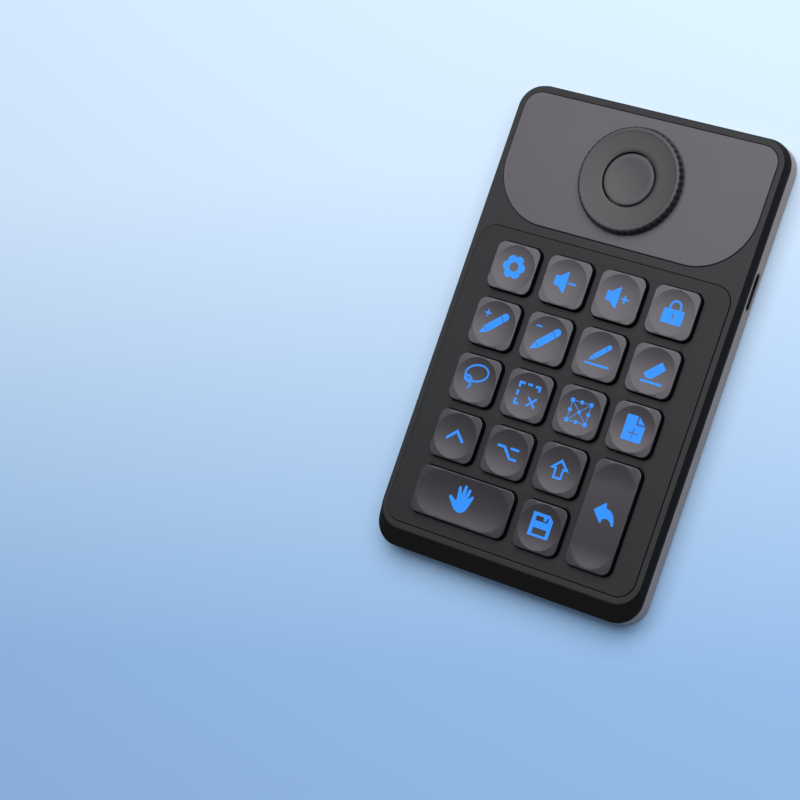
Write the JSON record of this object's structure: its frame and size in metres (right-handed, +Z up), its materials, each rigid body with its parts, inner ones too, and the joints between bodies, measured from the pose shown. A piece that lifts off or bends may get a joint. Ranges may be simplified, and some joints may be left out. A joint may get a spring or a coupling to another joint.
{
  "type": "macro keypad",
  "caption": "Slim desk keypad with dished square keys, a wide key and a tall key, a push-button dial on an inset panel, and a slide switch in the side wall.",
  "frame": {"origin": "on the desk, under the middle of the case", "axes": "+X to the right, +Y from the wide key towards the dial, +Z up"},
  "size_m": [0.0882, 0.145, 0.0125],
  "materials": {
    "grey_case_plastic": "moulded ABS, fine satin texture, grey",
    "black_case_plastic": "moulded ABS, fine satin texture, black",
    "plate_plastic": "moulded ABS plate, fine matt texture, charcoal",
    "panel_plastic": "moulded ABS plate, satin, mid grey",
    "guide_plastic": "moulded acetal, black",
    "dome_silicone": "moulded silicone rubber, translucent grey",
    "board_laminate": "glass-epoxy laminate with green solder mask",
    "chip_resin": "black moulding resin",
    "battery_foil": "aluminium laminate pouch",
    "lead_plastic": "PVC insulated wire",
    "foam": "closed-cell foam",
    "plated_steel": "nickel-plated steel",
    "switch_plastic": "moulded PBT, black",
    "slider_plastic": "moulded ABS, black",
    "screw_steel": "black zinc-plated steel",
    "foot_rubber": "moulded silicone rubber, black",
    "rotor_plastic": "moulded acetal, natural",
    "dial_plastic": "moulded ABS, satin black",
    "button_plastic": "moulded ABS, satin charcoal",
    "keycap_plastic": "moulded ABS, satin, dark grey with printed blue symbols"
  },
  "bodies": {
    "case": {"bottom_case": "grey_case_plastic", "top_case": "black_case_plastic", "key_plate": "plate_plastic", "dial_panel": "panel_plastic", "guide_frame": "guide_plastic", "dome_mat": "dome_silicone", "circuit_board": "board_laminate", "board_chips": "chip_resin", "battery": "battery_foil", "battery_lead": "lead_plastic", "battery_pad": "foam", "charging_socket": "plated_steel", "switch_body": "switch_plastic", "slot_bezel": "slider_plastic", "encoder_base": "switch_plastic", "push_switch": "switch_plastic", "case_screws": "screw_steel", "board_screws": "plated_steel", "foot_strips": "foot_rubber"},
    "dial": {"dial": "dial_plastic", "encoder_rotor": "rotor_plastic"},
    "dial_button": {"dial_button": "button_plastic", "switch_plunger": "rotor_plastic"},
    "power_slider": {"power_slider": "slider_plastic", "switch_lever": "rotor_plastic"},
    "key_settings": {"keycap_settings": "keycap_plastic"},
    "key_volume_down": {"keycap_volume_down": "keycap_plastic"},
    "key_volume_up": {"keycap_volume_up": "keycap_plastic"},
    "key_lock": {"keycap_lock": "keycap_plastic"},
    "key_brush_larger": {"keycap_brush_larger": "keycap_plastic"},
    "key_brush_smaller": {"keycap_brush_smaller": "keycap_plastic"},
    "key_pen": {"keycap_pen": "keycap_plastic"},
    "key_eraser": {"keycap_eraser": "keycap_plastic"},
    "key_lasso": {"keycap_lasso": "keycap_plastic"},
    "key_deselect": {"keycap_deselect": "keycap_plastic"},
    "key_transform": {"keycap_transform": "keycap_plastic"},
    "key_new_page": {"keycap_new_page": "keycap_plastic"},
    "key_control": {"keycap_control": "keycap_plastic"},
    "key_alternate": {"keycap_alternate": "keycap_plastic"},
    "key_shift": {"keycap_shift": "keycap_plastic"},
    "key_undo": {"keycap_undo": "keycap_plastic"},
    "key_hand": {"keycap_hand": "keycap_plastic"},
    "key_save": {"keycap_save": "keycap_plastic"}
  },
  "joints": [
    {"name": "key_settings_press", "type": "slide", "parent": "case", "child": "key_settings", "axis": [0, 0, -1], "range_m": [0, 0.0015], "stiffness_N_per_m": 200, "springref_m": -0.00125, "deforming": ["dome_mat"]},
    {"name": "key_volume_down_press", "type": "slide", "parent": "case", "child": "key_volume_down", "axis": [0, 0, -1], "range_m": [0, 0.0015], "stiffness_N_per_m": 200, "springref_m": -0.00125, "deforming": ["dome_mat"]},
    {"name": "key_volume_up_press", "type": "slide", "parent": "case", "child": "key_volume_up", "axis": [0, 0, -1], "range_m": [0, 0.0015], "stiffness_N_per_m": 200, "springref_m": -0.00125, "deforming": ["dome_mat"]},
    {"name": "key_lock_press", "type": "slide", "parent": "case", "child": "key_lock", "axis": [0, 0, -1], "range_m": [0, 0.0015], "stiffness_N_per_m": 200, "springref_m": -0.00125, "deforming": ["dome_mat"]},
    {"name": "key_brush_larger_press", "type": "slide", "parent": "case", "child": "key_brush_larger", "axis": [0, 0, -1], "range_m": [0, 0.0015], "stiffness_N_per_m": 200, "springref_m": -0.00125, "deforming": ["dome_mat"]},
    {"name": "key_brush_smaller_press", "type": "slide", "parent": "case", "child": "key_brush_smaller", "axis": [0, 0, -1], "range_m": [0, 0.0015], "stiffness_N_per_m": 200, "springref_m": -0.00125, "deforming": ["dome_mat"]},
    {"name": "key_pen_press", "type": "slide", "parent": "case", "child": "key_pen", "axis": [0, 0, -1], "range_m": [0, 0.0015], "stiffness_N_per_m": 200, "springref_m": -0.00125, "deforming": ["dome_mat"]},
    {"name": "key_eraser_press", "type": "slide", "parent": "case", "child": "key_eraser", "axis": [0, 0, -1], "range_m": [0, 0.0015], "stiffness_N_per_m": 200, "springref_m": -0.00125, "deforming": ["dome_mat"]},
    {"name": "key_lasso_press", "type": "slide", "parent": "case", "child": "key_lasso", "axis": [0, 0, -1], "range_m": [0, 0.0015], "stiffness_N_per_m": 200, "springref_m": -0.00125, "deforming": ["dome_mat"]},
    {"name": "key_deselect_press", "type": "slide", "parent": "case", "child": "key_deselect", "axis": [0, 0, -1], "range_m": [0, 0.0015], "stiffness_N_per_m": 200, "springref_m": -0.00125, "deforming": ["dome_mat"]},
    {"name": "key_transform_press", "type": "slide", "parent": "case", "child": "key_transform", "axis": [0, 0, -1], "range_m": [0, 0.0015], "stiffness_N_per_m": 200, "springref_m": -0.00125, "deforming": ["dome_mat"]},
    {"name": "key_new_page_press", "type": "slide", "parent": "case", "child": "key_new_page", "axis": [0, 0, -1], "range_m": [0, 0.0015], "stiffness_N_per_m": 200, "springref_m": -0.00125, "deforming": ["dome_mat"]},
    {"name": "key_control_press", "type": "slide", "parent": "case", "child": "key_control", "axis": [0, 0, -1], "range_m": [0, 0.0015], "stiffness_N_per_m": 200, "springref_m": -0.00125, "deforming": ["dome_mat"]},
    {"name": "key_alternate_press", "type": "slide", "parent": "case", "child": "key_alternate", "axis": [0, 0, -1], "range_m": [0, 0.0015], "stiffness_N_per_m": 200, "springref_m": -0.00125, "deforming": ["dome_mat"]},
    {"name": "key_shift_press", "type": "slide", "parent": "case", "child": "key_shift", "axis": [0, 0, -1], "range_m": [0, 0.0015], "stiffness_N_per_m": 200, "springref_m": -0.00125, "deforming": ["dome_mat"]},
    {"name": "key_undo_press", "type": "slide", "parent": "case", "child": "key_undo", "axis": [0, 0, -1], "range_m": [0, 0.0015], "stiffness_N_per_m": 200, "springref_m": -0.00125, "deforming": ["dome_mat"]},
    {"name": "key_hand_press", "type": "slide", "parent": "case", "child": "key_hand", "axis": [0, 0, -1], "range_m": [0, 0.0015], "stiffness_N_per_m": 200, "springref_m": -0.00125, "deforming": ["dome_mat"]},
    {"name": "key_save_press", "type": "slide", "parent": "case", "child": "key_save", "axis": [0, 0, -1], "range_m": [0, 0.0015], "stiffness_N_per_m": 200, "springref_m": -0.00125, "deforming": ["dome_mat"]},
    {"name": "dial_turn", "type": "hinge", "parent": "case", "child": "dial", "pos_m": [0, 0.05017, 0.0096], "axis": [0, 0, 1], "continuous": true},
    {"name": "dial_button_press", "type": "slide", "parent": "case", "child": "dial_button", "axis": [0, 0, -1], "range_m": [0, 0.0005], "stiffness_N_per_m": 800, "springref_m": -0.001},
    {"name": "power_slide", "type": "slide", "parent": "case", "child": "power_slider", "axis": [0, 1, 0], "range_m": [0, 0.003]}
  ]
}
